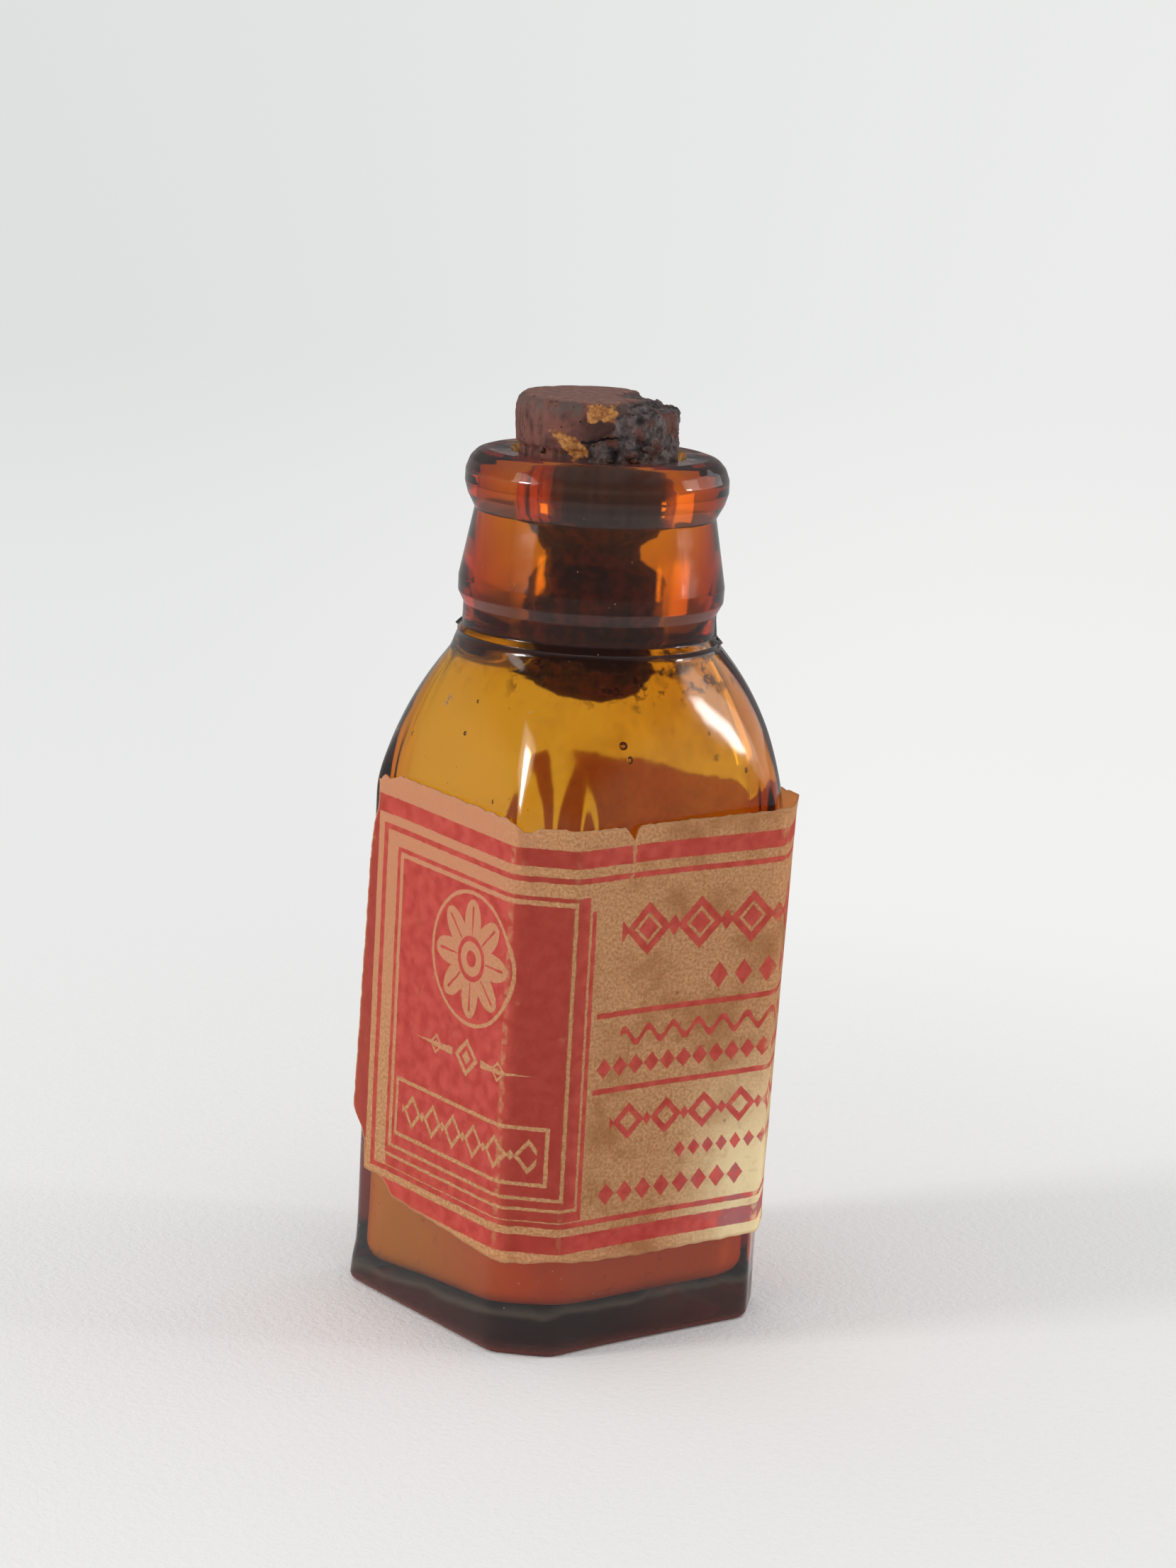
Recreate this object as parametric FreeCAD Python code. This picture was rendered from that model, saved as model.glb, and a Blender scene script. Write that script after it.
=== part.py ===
import FreeCAD
import Part
import math
import os

# Square medicine bottle with bevelled corners, moulded in one piece of amber glass.
# An old tapered cork, chipped on top and eaten away below, stops the neck.
# A paper label is pasted round three sides and the corners between them.
# Millimetres, +Z up, origin at the middle of the foot. The label's text side looks along -Y.

# Glass body
body_width = 29.0  # across the flats, both ways
corner_bevel = 3.8  # leg of each bevelled corner
edge_flat = 1.1  # narrow flat that softens the edge between a side and a bevel
heel_round = 0.9  # radius round the foot
shoulder_height = 15.0  # from the upright sides up to the neck
shoulder_lean = math.radians(46.0)  # lean of the shoulder where it meets the neck
shoulder_steps = 6  # sections between the body and the neck
foot_recess = 0.5  # depth of the hollow under the foot
foot_rim = 4.2  # width of the rim that the bottle stands on

# Hollow inside the body
wall = 2.1  # thickness of a flat side
base_thickness = 3.9  # glass under the front of the hollow
floor_slope = math.radians(5.0)  # fall of the hollow's floor towards the back
inner_corner = 5.2  # corner radius of the hollow, so that the glass is thicker there
floor_bevel = 1.8  # slope round the hollow's floor
inner_shoulder_drop = 1.0  # how far below the outer shoulder the hollow begins to close in

# Neck and lip
glass_height = 76.2  # foot to the top of the lip
lip_depth = 5.0  # top of the lip down to the groove under it
lip_bead_depth = 2.7  # top of the lip down to the widest part of its bead
lip_radius = 11.45  # widest part of the bead
lip_top_radius = 9.7  # outer edge of the lip's flat top
groove_radius = 10.5  # bottom of the groove under the lip
collar_height = 8.8  # groove down to the underside of the flared collar
collar_radius = 11.55  # widest part of the collar
collar_round = 1.7  # height of the collar's rounded lower edge
ring_height = 2.4  # plain ring between the collar and the shoulder
neck_radius = 11.05  # outside of the plain ring
seam_ridge = 0.35  # raised line left by the joint of the mould, at the foot of the ring
bore_radius = 7.05  # inside of the neck
mouth_flare = 0.4  # how far the bore opens out at the lip, and how deep

# Cork
cork_clearance = 0.06  # between the cork and the bore where it seats
cork_taper_share = 0.05  # loss of radius for each unit of depth
cork_proud = 5.4  # how far it stands out of the lip
cork_edge = 0.5  # worn edge of the top
cork_seat = 4.2  # depth of sound cork below the lip
cork_eaten = 17.6  # length of the eaten stump below the sound cork
# Ragged stump: depth as a share of its length, then its reach at equal steps round from +X, as
# shares of the seat's radius
stump_shares = (
    (0.0, (0.97, 0.98, 0.97, 0.98, 0.97, 0.98, 0.97, 0.98, 0.96, 0.97, 0.98, 0.97)),
    (0.06, (0.95, 0.97, 0.93, 0.96, 0.92, 0.97, 0.94, 0.96, 0.9, 0.95, 0.97, 0.93)),
    (0.15, (0.8, 0.74, 0.82, 0.78, 0.72, 0.84, 0.76, 0.72, 0.8, 0.86, 0.82, 0.78)),
    (0.23, (0.62, 0.58, 0.66, 0.7, 0.64, 0.68, 0.6, 0.56, 0.58, 0.62, 0.57, 0.6)),
    (0.29, (0.58, 0.62, 0.56, 0.6, 0.58, 0.56, 0.64, 0.58, 0.54, 0.56, 0.58, 0.6)),
    (0.35, (0.84, 0.78, 0.72, 0.8, 0.78, 0.74, 0.82, 0.86, 0.8, 0.84, 0.92, 0.88)),
    (0.46, (0.86, 0.9, 0.82, 0.78, 0.84, 0.82, 0.88, 0.8, 0.9, 0.86, 0.9, 0.92)),
    (0.6, (0.88, 0.84, 0.9, 0.86, 0.92, 0.9, 0.84, 0.88, 0.82, 0.92, 0.94, 0.9)),
    (0.72, (0.8, 0.86, 0.78, 0.82, 0.78, 0.74, 0.8, 0.86, 0.84, 0.78, 0.74, 0.76)),
    (0.84, (0.82, 0.76, 0.8, 0.86, 0.84, 0.88, 0.8, 0.76, 0.82, 0.86, 0.8, 0.84)),
    (0.94, (0.62, 0.7, 0.66, 0.6, 0.68, 0.72, 0.66, 0.6, 0.7, 0.74, 0.68, 0.62)),
    (1.0, (0.3, 0.36, 0.34, 0.28, 0.34, 0.38, 0.32, 0.28, 0.36, 0.4, 0.34, 0.3)),
)
# Chip out of the top as shares of the cork's radius, and of the height that stands proud
chip_shares = ((0.12, 1.0), (0.42, 0.86), (0.76, 0.85), (0.97, 0.56))
chip_bearing = math.radians(-37.0)  # side that the chip is on, from +X

# Paper label
label_bottom = 8.4  # bare glass below it
label_lap = 1.9  # how far it reaches up on to the shoulder
label_lift = 1.1  # how far its right front fold stands off the glass at the upper edge
paper = 0.12  # thickness
paste = 0.03  # gap that the paste fills
label_head = 3.2  # how far its free end runs past the left rear fold
label_tail = 6.4  # how far it runs on to the back, past the last corner
tail_tear_width = 4.2  # long V torn down the back beside the last corner
tail_tear_depth = 17.5
tail_tear_place = 1.9  # middle of its mouth, past the last corner
notch_width = 1.3  # V torn in the upper edge
notch_depth = 1.6
notch_place_share = 0.28  # along the front flat, from its left end
# Corners torn off the label's free end: how far along, of the head, and how far up, of the height
lower_tear_shares = ((-1.9, 0.0), (-0.6, 0.065), (0.0, 0.12), (1.0, 0.19))
upper_tear_shares = ((-0.1, 1.0), (0.05, 0.93), (0.4, 0.87), (1.0, 0.86))

overrun = 1.0  # how far a cutting shape runs past what it cuts
flat_limit = 1e-6  # three points closer to a line than this share of its length are in line

half_width = body_width / 2
groove_height = glass_height - lip_depth
collar_base = groove_height - collar_height
neck_base = collar_base - ring_height
shoulder_start = neck_base - shoulder_height
label_top = shoulder_start + label_lap
label_height = label_top - label_bottom
eighth = math.pi / 4
UP = FreeCAD.Vector(0, 0, 1)
ORIGIN = FreeCAD.Vector(0, 0, 0)


def point(across, up):
    """A point of a turned outline: distance from the axis and height."""
    return FreeCAD.Vector(across, 0, up)


def line(start, end):
    return Part.LineSegment(start, end).toShape()


def arc(start, middle, end):
    """An arc through three points, or a line where they are in line."""
    chord = end - start
    offset = chord.cross(middle - start).Length / chord.Length
    if offset < flat_limit * chord.Length:
        return line(start, end)
    return Part.Arc(start, middle, end).toShape()


def outline(points):
    """Straight edges through the points, closed."""
    return Part.makePolygon(list(points) + [points[0]])


def bevelled_square(half, bevel, edge):
    """An eighth of the outline, from the middle of a flat to the middle of a bevel.

    The odd points are the ends of the edges and the even ones their middles."""
    side = half - bevel
    cut = edge / (2 * math.cos(eighth / 2))
    flat_end = (half, side - cut)
    bevel_end = (half - cut * math.cos(eighth), side + cut * math.sin(eighth))
    edge_middle = ((flat_end[0] + bevel_end[0]) / 2, (flat_end[1] + bevel_end[1]) / 2)
    bevel_middle = ((half + side) / 2, (half + side) / 2)
    return (half, 0), flat_end, edge_middle, bevel_end, bevel_middle


def rounded_square(half, corner):
    """The same for a square whose corners are single arcs."""
    middle = half - corner * (1 - math.cos(eighth))
    return (half, 0), (half, half - corner), (middle, middle)


def grown(half, bevel, edge, offset):
    """The sizes of a bevelled square that lies outside the first by offset."""
    return half + offset, bevel + (2 - math.sqrt(2)) * offset, edge + 2 * math.tan(eighth / 4) * offset


def section(eighth_points, height, roundness=0.0, radius=0.0):
    """A closed outline at a height, part of the way from its square to a circle."""

    def place(corner, quarter, mirrored):
        x, y = corner
        distance = math.hypot(x, y)
        distance += (radius - distance) * roundness
        angle = math.atan2(x, y) if mirrored else math.atan2(y, x)
        angle += quarter * 2 * eighth
        return FreeCAD.Vector(distance * math.cos(angle), distance * math.sin(angle), height)

    loop = []
    for quarter in range(4):
        loop += [place(corner, quarter, False) for corner in eighth_points]
        loop += [place(corner, quarter, True) for corner in reversed(eighth_points[1:-1])]
    loop += loop[:2]
    return Part.Wire([arc(*loop[end:end + 3]) for end in range(1, len(loop) - 1, 2)])


def prism(eighth_points, bottom, top):
    return Part.Face(section(eighth_points, bottom)).extrude(UP * (top - bottom))


def foot_edges(solid):
    """The edges round the bottom of a prism."""
    middle = solid.BoundBox.Center.z
    lowest = solid.BoundBox.ZMin
    return [edge for edge in solid.Edges if edge.BoundBox.ZMax < (lowest + middle) / 2]


def shoulder(eighth_points, bottom, top, radius, ruled):
    """From a square to a circle, upright at the bottom and leaning in at the top."""
    sections = []
    for step in range(shoulder_steps + 1):
        lean = shoulder_lean * step / shoulder_steps
        rise = math.sin(lean) / math.sin(shoulder_lean)
        roundness = (1 - math.cos(lean)) / (1 - math.cos(shoulder_lean))
        sections.append(section(eighth_points, bottom + (top - bottom) * rise, roundness, radius))
    return Part.makeLoft(sections, True, ruled)


def neck_outside():
    """Seam line, plain ring, flared collar, groove and the lip's bead."""
    middle_below = point(0, neck_base)
    seam = point(neck_radius + seam_ridge, neck_base)
    ring_foot = point(neck_radius, neck_base + 2 * seam_ridge)
    ring_top = point(neck_radius, collar_base)
    collar_edge = point(collar_radius, collar_base + collar_round)
    groove = point(groove_radius, groove_height)
    bead = point(lip_radius, glass_height - lip_bead_depth)
    lip_edge = point(lip_top_radius, glass_height)
    middle_above = point(0, glass_height)
    corners = [lip_edge, middle_above, middle_below, seam, ring_foot, ring_top, collar_edge, groove]
    edges = [line(start, end) for start, end in zip(corners, corners[1:])]
    face = Part.Face(Part.Wire(edges + [arc(groove, bead, lip_edge)]))
    return face.revolve(ORIGIN, UP, 360)


def bore():
    """The hole through the neck, flared where it opens at the lip."""
    throat = point(bore_radius, glass_height - mouth_flare)
    mouth = point(bore_radius + mouth_flare, glass_height)
    above = point(bore_radius + mouth_flare, glass_height + overrun)
    middle_above = point(0, glass_height + overrun)
    middle_below = point(0, neck_base)
    foot = point(bore_radius, neck_base)
    corners = [middle_below, foot, throat, mouth, above, middle_above]
    return Part.Face(outline(corners)).revolve(ORIGIN, UP, 360)


def floor_glass():
    """Everything under the hollow's sloping floor."""
    front = -(half_width - wall)
    side = FreeCAD.Vector(-half_width, 0, 0)
    level_drop = FreeCAD.Vector(0, 2 * half_width, -2 * half_width * math.tan(floor_slope))
    front_edge = side + FreeCAD.Vector(0, front, base_thickness)
    corners = [front_edge - level_drop, front_edge + level_drop]
    corners += [corner - UP * body_width for corner in reversed(corners)]
    return Part.Face(outline(corners)).extrude(FreeCAD.Vector(body_width, 0, 0))


def glass_bottle():
    outer = bevelled_square(half_width, corner_bevel, edge_flat)
    inner = rounded_square(half_width - wall, inner_corner)
    recess = bevelled_square(half_width - foot_rim, corner_bevel, edge_flat)
    inner_start = shoulder_start - inner_shoulder_drop
    body = prism(outer, 0, shoulder_start)
    body = body.makeFillet(heel_round, foot_edges(body))
    cone = shoulder(outer, shoulder_start, neck_base, neck_radius + seam_ridge, False)
    glass = body.multiFuse([cone, neck_outside()])
    hollow = prism(inner, 0, inner_start).cut(floor_glass())
    hollow = hollow.makeChamfer(floor_bevel, foot_edges(hollow))
    throat = shoulder(inner, inner_start, neck_base, bore_radius, True)
    glass = glass.cut(hollow.multiFuse([throat, bore()]))
    return glass.cut(prism(recess, -overrun, foot_recess)).removeSplitter()


def cork_radius(height):
    """The sound cork's radius: a close fit in the bore at the seat, tapering downwards."""
    seat = glass_height - mouth_flare
    return bore_radius - cork_clearance + (height - seat) * cork_taper_share


def chip():
    """The broken part of the cork's top, on one side of the middle."""
    top = glass_height + cork_proud
    radius = cork_radius(top)
    steps = [point(out * radius, glass_height + up * cork_proud) for out, up in chip_shares]
    outside = radius + overrun
    first, last = steps[0], steps[-1]
    edge = [point(outside, last.z), point(outside, top + overrun), point(first.x, top + overrun)]
    face = Part.Face(outline(steps + edge))
    face.translate(FreeCAD.Vector(0, -outside, 0))
    block = face.extrude(FreeCAD.Vector(0, 2 * outside, 0))
    block.rotate(ORIGIN, UP, math.degrees(chip_bearing))
    return block


def stump(seat_end, seat_radius):
    """The eaten lower part of the cork, in flat facets between its ragged rings."""
    rings = []
    for down, reaches in stump_shares:
        step = 2 * math.pi / len(reaches)
        height = seat_end - down * cork_eaten
        rings.append([
            FreeCAD.Vector(
                reach * seat_radius * math.cos(turn * step),
                reach * seat_radius * math.sin(turn * step),
                height,
            )
            for turn, reach in enumerate(reaches)
        ])
    faces = [Part.Face(outline(rings[0])), Part.Face(outline(rings[-1]))]
    for upper, lower in zip(rings, rings[1:]):
        for turn in range(len(upper)):
            ahead = (turn + 1) % len(upper)
            faces.append(Part.Face(outline([upper[turn], upper[ahead], lower[ahead]])))
            faces.append(Part.Face(outline([upper[turn], lower[ahead], lower[turn]])))
    return Part.Solid(Part.Shell(faces))


def cork_stopper():
    top = glass_height + cork_proud
    seat_end = glass_height - cork_seat
    seat_radius = cork_radius(seat_end)
    profile = [
        point(0, top),
        point(cork_radius(top) - cork_edge, top),
        point(cork_radius(top - cork_edge), top - cork_edge),
        point(seat_radius, seat_end),
        point(0, seat_end),
    ]
    sound = Part.Face(outline(profile)).revolve(ORIGIN, UP, 360).cut(chip())
    return sound.fuse(stump(seat_end, seat_radius))


def end_tear(shares):
    """A corner torn off the label's free end, cut along X through the left rear corner."""
    corner = half_width - corner_bevel
    head = label_head * math.cos(eighth)
    edge = [(corner + along * head, label_bottom + up * label_height) for along, up in shares]
    outside = half_width + overrun
    last = edge[-1][1]
    upper = shares[0][1] > shares[-1][1]
    far = label_top + overrun if upper else label_bottom - overrun
    edge += [(outside, last), (outside, far), (edge[0][0], far)]
    face = Part.Face(outline([FreeCAD.Vector(-outside, y, z) for y, z in edge]))
    return face.extrude(FreeCAD.Vector(corner_bevel + 2 * overrun, 0, 0))


def edge_tear(middle, width, depth, inside, outside):
    """A V torn down from the label's upper edge, cut along Y."""
    face = Part.Face(outline([
        FreeCAD.Vector(middle, inside, label_top - depth),
        FreeCAD.Vector(middle + width / 2, inside, label_top),
        FreeCAD.Vector(middle + width / 2, inside, label_top + overrun),
        FreeCAD.Vector(middle - width / 2, inside, label_top + overrun),
        FreeCAD.Vector(middle - width / 2, inside, label_top),
    ]))
    return face.extrude(FreeCAD.Vector(0, outside - inside, 0))


def upper_edge_tears():
    """The notch on the text side and the long tear in the tail on the back."""
    corner = half_width - corner_bevel
    flat = half_width - overrun
    notch_middle = -corner + 2 * corner * notch_place_share
    notch = edge_tear(notch_middle, notch_width, notch_depth, -flat, -half_width - label_lift - overrun)
    tail_middle = corner - tail_tear_place
    tail = edge_tear(tail_middle, tail_tear_width, tail_tear_depth, flat, half_width + overrun)
    return [notch, tail]


def folds(eighth_points):
    """The ends of a straight-sided outline's edges, all the way round."""
    ends = eighth_points[1::2]
    quarter_turn = [FreeCAD.Vector(x, y, 0) for x, y in ends]
    quarter_turn += [FreeCAD.Vector(y, x, 0) for x, y in reversed(ends)]
    loop = []
    for quarter in range(4):
        turn = FreeCAD.Rotation(UP, math.degrees(quarter * 2 * eighth))
        loop += [turn.multVec(spot) for spot in quarter_turn]
    return loop


def lifted_band(offset):
    """The space inside the label's outline at an offset from the glass, standing off at one fold."""
    spots = folds(bevelled_square(*grown(half_width, corner_bevel, edge_flat, offset)))
    off_glass = FreeCAD.Vector(1, -1, 0) * (label_lift * math.sin(eighth))
    lower = [spot + UP * label_bottom for spot in spots]
    upper = [spot + UP * label_top + (off_glass if spot.x > 0 > spot.y else ORIGIN) for spot in spots]
    return Part.makeLoft([outline(lower), outline(upper)], True, True)


def paper_label():
    band = lifted_band(paste + paper).cut(lifted_band(paste))
    corner = half_width - corner_bevel
    head = label_head * math.cos(eighth)
    bare_side = Part.makeBox(
        half_width + overrun + corner - label_tail,
        corner_bevel - head + overrun,
        label_height + 2 * overrun,
        FreeCAD.Vector(-half_width - overrun, corner + head, label_bottom - overrun),
    )
    tears = [end_tear(lower_tear_shares), end_tear(upper_tear_shares)] + upper_edge_tears()
    return band.cut(bare_side.multiFuse(tears))


def main():
    os.makedirs("parts", exist_ok=True)
    pieces = {
        "glass_bottle": glass_bottle(),
        "cork_stopper": cork_stopper(),
        "paper_label": paper_label(),
    }
    for name, shape in pieces.items():
        shape.exportStep(os.path.join("parts", name + ".step"))
        box = shape.BoundBox
        print(name, "solids", len(shape.Solids), "valid", shape.isValid(), "volume", round(shape.Volume, 2),
              "x", round(box.XMin, 2), round(box.XMax, 2), "y", round(box.YMin, 2), round(box.YMax, 2),
              "z", round(box.ZMin, 2), round(box.ZMax, 2))


main()
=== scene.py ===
import bpy
import math
import numpy as np
from mathutils import Matrix, Vector, noise


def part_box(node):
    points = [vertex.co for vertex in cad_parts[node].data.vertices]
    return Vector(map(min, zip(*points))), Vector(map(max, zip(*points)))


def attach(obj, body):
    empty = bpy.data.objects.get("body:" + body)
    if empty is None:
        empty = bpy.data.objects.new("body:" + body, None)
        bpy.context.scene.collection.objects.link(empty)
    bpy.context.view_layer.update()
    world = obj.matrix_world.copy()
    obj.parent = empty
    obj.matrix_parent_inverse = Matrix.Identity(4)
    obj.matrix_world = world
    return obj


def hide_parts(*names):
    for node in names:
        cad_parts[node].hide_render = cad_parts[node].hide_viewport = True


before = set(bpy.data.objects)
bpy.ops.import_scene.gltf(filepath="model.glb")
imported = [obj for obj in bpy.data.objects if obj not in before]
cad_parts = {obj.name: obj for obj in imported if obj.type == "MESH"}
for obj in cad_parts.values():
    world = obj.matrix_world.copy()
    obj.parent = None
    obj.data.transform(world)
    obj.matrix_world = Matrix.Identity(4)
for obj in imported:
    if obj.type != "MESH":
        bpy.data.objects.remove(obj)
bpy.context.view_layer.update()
mm = 0.001  # every size below is in millimetres
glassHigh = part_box("glass_bottle")[1]
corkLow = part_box("cork_stopper")[0]
# level directions in the photograph: to its right, and towards its camera
photoRight = (0.8, -0.6, 0)
photoFront = (-0.6, -0.8, 0)
print("frame loaded:", ", ".join(sorted(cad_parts)))


class Wire:
    # one shader socket, so that a sum on it adds Math nodes
    def __init__(self, tree, socket=None):
        self.tree = tree
        self.socket = socket

    def node(self, kind, settings=None, values=None, out=0):
        made = self.tree.nodes.new("ShaderNode" + kind)
        for key, value in (settings or {}).items():
            setattr(made, key, value)
        for key, value in (values or {}).items():
            if isinstance(value, Wire):
                self.tree.links.new(value.socket, made.inputs[key])
            else:
                made.inputs[key].default_value = value
        return Wire(self.tree, made.outputs[out] if len(made.outputs) else None)

    def math(self, operation, *others):
        return self.node("Math", {"operation": operation}, dict(enumerate((self, *others))))

    def __add__(self, other):
        return self.math("ADD", other)

    def __radd__(self, other):
        return self.math("ADD", other)

    def __sub__(self, other):
        return self.math("SUBTRACT", other)

    def __rsub__(self, other):
        return self.node("Math", {"operation": "SUBTRACT"}, {0: other, 1: self})

    def __mul__(self, other):
        return self.math("MULTIPLY", other)

    def __rmul__(self, other):
        return self.math("MULTIPLY", other)

    def __truediv__(self, other):
        return self.math("DIVIDE", other)

    def __mod__(self, other):
        return self.math("FLOORED_MODULO", other)

    def __pow__(self, other):
        return self.math("POWER", other)

    def __abs__(self):
        return self.math("ABSOLUTE")

    def __lt__(self, other):
        return self.math("LESS_THAN", other)

    def __gt__(self, other):
        return self.math("GREATER_THAN", other)

    def most(self, other):
        return self.math("MAXIMUM", other)

    def fade(self, start, end):
        # 0 at start and 1 at end, eased
        values = {0: self, 1: start, 2: end}
        return self.node("MapRange", {"interpolation_type": "SMOOTHSTEP"}, values)

    def mix(self, first, second):
        # this socket as the share of the second colour
        return self.node("Mix", {"data_type": "RGBA"}, {0: self, 6: first, 7: second}, 2)

    def grain(self, scale, detail=3.0, roughness=0.5):
        values = {"Vector": self, "Scale": scale, "Detail": detail, "Roughness": roughness}
        return self.node("TexNoise", None, values)

    def cells(self, scale):
        return self.node("TexVoronoi", None, {"Vector": self, "Scale": scale})

    def stretched(self, scale):
        return self.node("Mapping", None, {"Vector": self, "Scale": scale})

    def bump(self, height, strength, distance):
        values = {"Height": height, "Strength": strength, "Distance": distance * mm}
        return self.node("Bump", None, values)

    def field(self, name, out=2):
        # a value kept at each point of the mesh; out 1 gives a vector
        return self.node("Attribute", {"attribute_name": name}, None, out)

    def lightPath(self, name):
        return self.node("LightPath", None, None, name)

    def parts(self):
        split = self.node("SeparateXYZ", None, {0: self})
        return [Wire(self.tree, socket) for socket in split.socket.node.outputs]


def tint(red, green, blue):
    # screen colour, 0 to 255, as the linear one that a shader takes
    def linear(value):
        share = value / 255
        return share / 12.92 if share <= 0.04045 else ((share + 0.055) / 1.055) ** 2.4
    return (linear(red), linear(green), linear(blue), 1.0)


def newMaterial(name):
    material = bpy.data.materials.new(name)
    material.use_nodes = True
    material.node_tree.nodes.clear()
    root = Wire(material.node_tree)
    place = root.node("TexCoord", None, None, 3)
    place = root.node("VectorMath", {"operation": "SCALE"}, {0: place, "Scale": 1 / mm})
    return material, root, place  # place is the object's own millimetres


def photoSides(across, along):
    # shader values that grow to the photograph's right, and towards its camera
    return [across * way[0] + along * way[1] for way in (photoRight, photoFront)]


def addPiece(name, points, faces, materials, body, node, values, faceSlots=None):
    # points in millimetres; values are the fields that its materials read
    mesh = bpy.data.meshes.new(name)
    mesh.from_pydata([tuple(point) for point in np.asarray(points) * mm], [], faces)
    for material in materials:
        mesh.materials.append(material)
    if faceSlots is not None:
        mesh.polygons.foreach_set("material_index", faceSlots)
    for key, data in values.items():
        data = np.asarray(data, np.float32)
        kind, part = ("FLOAT_VECTOR", "vector") if data.ndim == 2 else ("FLOAT", "value")
        field = mesh.attributes.new(key, kind, "POINT")
        field.data.foreach_set(part, data.ravel())
    mesh.shade_smooth()
    mesh.update()
    piece = bpy.data.objects.new(name, mesh)
    bpy.context.scene.collection.objects.link(piece)
    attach(piece, body)
    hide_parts(node)
    print(name, "points", len(mesh.vertices), "faces", len(mesh.polygons))


def ringFaces(rows, around):
    # quads between neighbouring rings, and a fan to a middle point at each end
    faces = []
    for row in range(rows - 1):
        for step in range(around):
            here, ahead = row * around + step, row * around + (step + 1) % around
            faces.append((here, ahead, ahead + around, here + around))
    first, last, top = rows * around, rows * around + 1, (rows - 1) * around
    for step in range(around):
        ahead = (step + 1) % around
        faces.append((first, ahead, step))
        faces.append((last, top + step, top + ahead))
    return faces


def closedRings(rings):
    # rings of points, with a middle point for each end
    rings = np.asarray(rings)
    ends = np.stack([rings[0].mean(axis=0), rings[-1].mean(axis=0)])
    return np.concatenate([rings.reshape(-1, 3), ends]), ringFaces(len(rings), rings.shape[1])


def ballRings(falls, around, stretch):
    # rings of a unit ball stretched upright, at these angles from its top
    turn = np.linspace(0, 2 * math.pi, around, endpoint=False)
    level = np.stack([np.cos(turn), np.sin(turn), 0 * turn], axis=1)
    return np.array([level * math.sin(fall) + (0, 0, math.cos(fall) * stretch) for fall in falls])


def joinLump(points, faces, lump, lumpFaces):
    # adds a closed lump to the lists of a piece
    start = len(points)
    points.extend(lump)
    faces.extend(tuple(start + index for index in face) for face in lumpFaces)


def lumps(points, size, seed):
    # smooth noise from -1 to 1 at each point, for lumps of about this size
    shift = Vector((seed, seed * 1.7, -seed * 0.6))
    return np.array([noise.noise(Vector(point) / size + shift) for point in points])


def ease(value, start, end):
    share = np.clip((np.asarray(value, float) - start) / (end - start), 0, 1)
    return share * share * (3 - 2 * share)


def roundedLine(corners, steps=6):
    # a line through (across, up, rounding) with its corners turned as curves
    path = [Vector(corners[0][:2])]
    for before, here, after in zip(corners, corners[1:], corners[2:]):
        spot = Vector(here[:2])
        back = (Vector(before[:2]) - spot).normalized()
        onward = (Vector(after[:2]) - spot).normalized()
        reach = here[2] / math.tan(back.angle(onward) / 2)
        for step in range(steps + 1):
            share = step / steps
            path.append(spot + back * reach * (1 - share) ** 2 + onward * reach * share ** 2)
    path.append(Vector(corners[-1][:2]))
    return path


# camera at the photograph's viewing angle
camera = {
    "bearing": math.radians(-37.06),  # from -Y, to the left
    "distance": 339.85,
    "height": 118.04,
    "pan": math.radians(0.11),
    "tilt": math.radians(11.84),
    "roll": math.radians(3.19),
    "lens": 90.5,
}


def addCamera():
    bearing, pan, tilt = camera["bearing"], camera["pan"], camera["tilt"]
    onward = Vector((-math.sin(bearing), math.cos(bearing), 0))
    right = Vector((math.cos(bearing), math.sin(bearing), 0))
    spot = -onward * camera["distance"] + Vector((0, 0, camera["height"]))
    level = onward * math.cos(pan) + right * math.sin(pan)
    sight = level * math.cos(tilt) - Vector((0, 0, math.sin(tilt)))
    right = sight.cross(Vector((0, 0, 1))).normalized()
    turn = Matrix.Rotation(camera["roll"], 3, -sight)
    right = turn @ right
    up = right.cross(sight)
    data = bpy.data.cameras.new("photoCamera")
    data.lens = camera["lens"]
    data.clip_start, data.clip_end = 0.01, 120.0
    made = bpy.data.objects.new("photoCamera", data)
    made.matrix_world = Matrix((
        (right.x, up.x, -sight.x, spot.x * mm),
        (right.y, up.y, -sight.y, spot.y * mm),
        (right.z, up.z, -sight.z, spot.z * mm),
        (0, 0, 0, 1),
    ))
    bpy.context.scene.collection.objects.link(made)
    bpy.context.scene.camera = made
    print("camera set")


addCamera()

# amber glass
glass = {
    "half": glassHigh.x / mm,  # half the width across the flats
    "top": glassHigh.z / mm,
    "bevel": 3.8,
    "softness": 90,  # power that rounds the edges between flats and bevels
    "shoulderSoftness": 17,
    "heel": 0.7,
    "flare": 0.45,  # how far the foot spreads at the photograph's left
    "recess": 0.5,
    "rim": 4.2,
    "shoulderFoot": 45.0,
    "shoulderTop": 60.0,
    "lean": math.radians(46),
    "ring": 11.4,  # outside radius where the shoulder ends
    "wall": 2.1,
    "floor": 3.9,
    "floorSlope": math.tan(math.radians(5)),
    "floorRound": 1.4,
    "floorCrown": 0.2,
    "innerCorner": 5.2,  # radius of the hollow's upright corners
    "innerDrop": 1.0,
    "bore": 7.05,
    "around": 288,
    "outerWave": 0.05,
    "innerWave": 0.22,
    "seam": 0.06,
    "seamBearing": math.radians(135),
    "seamWidth": 0.3,
    "seamFoot": 1.2,
    "seamTop": 62.5,
    "fin": 0.36,
    "finHeight": 0.4,
    "sag": 0.85,  # how far the shoulder has sunk on the side at the photograph's left
    "sagBearing": math.radians(143),
    "smear": (-13.2, 2.85, 54.8),
    "density": 850.0,  # absorption for each metre of glass
    "absorption": (0.93, 0.735, 0.0, 1.0),
}
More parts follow.
